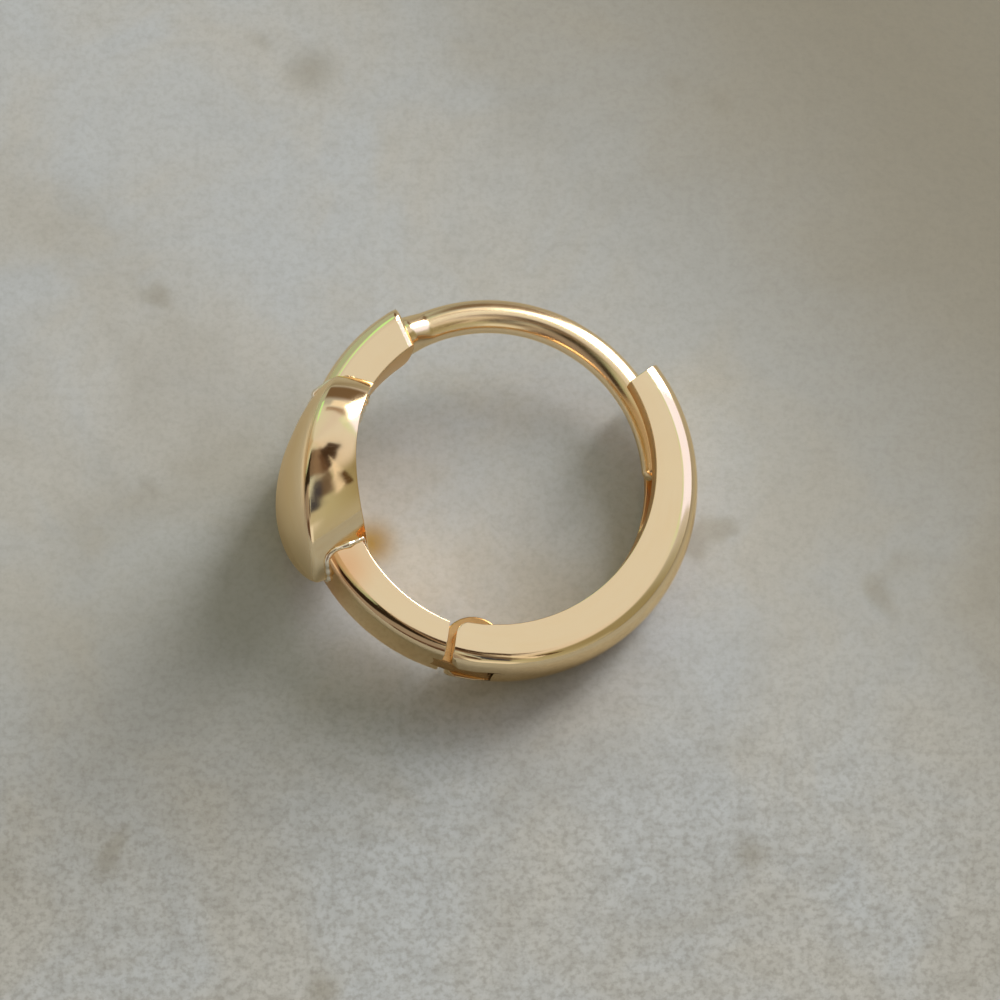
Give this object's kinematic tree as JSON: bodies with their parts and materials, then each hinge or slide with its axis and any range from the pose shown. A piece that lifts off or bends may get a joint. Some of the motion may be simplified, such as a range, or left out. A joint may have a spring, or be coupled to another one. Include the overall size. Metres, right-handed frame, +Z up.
{
  "type": "hoop charm earring",
  "caption": "Small hinged hoop earring with a puffed heart charm soldered to its front arch; a curved ear post shuts into a groove in the back arch.",
  "frame": {"origin": "middle of the closed earring's box, on the surface that it lies on", "axes": "+X from the charm to the back arch, +Y from the hinge to the ear post, +Z up off the surface"},
  "size_m": [0.0121, 0.0112, 0.0058],
  "materials": {
    "gold": "polished pale yellow gold"
  },
  "bodies": {
    "front": {"front_arch": "gold"},
    "back": {"back_arch": "gold", "hinge_pin": "gold"}
  },
  "joints": [
    {"name": "hoop_hinge", "type": "hinge", "parent": "front", "child": "back", "pos_m": [-0.00055, -0.00477, 0.00167], "axis": [-0.1574, 0.0984, -0.9826], "range_deg": [0, 75]}
  ]
}
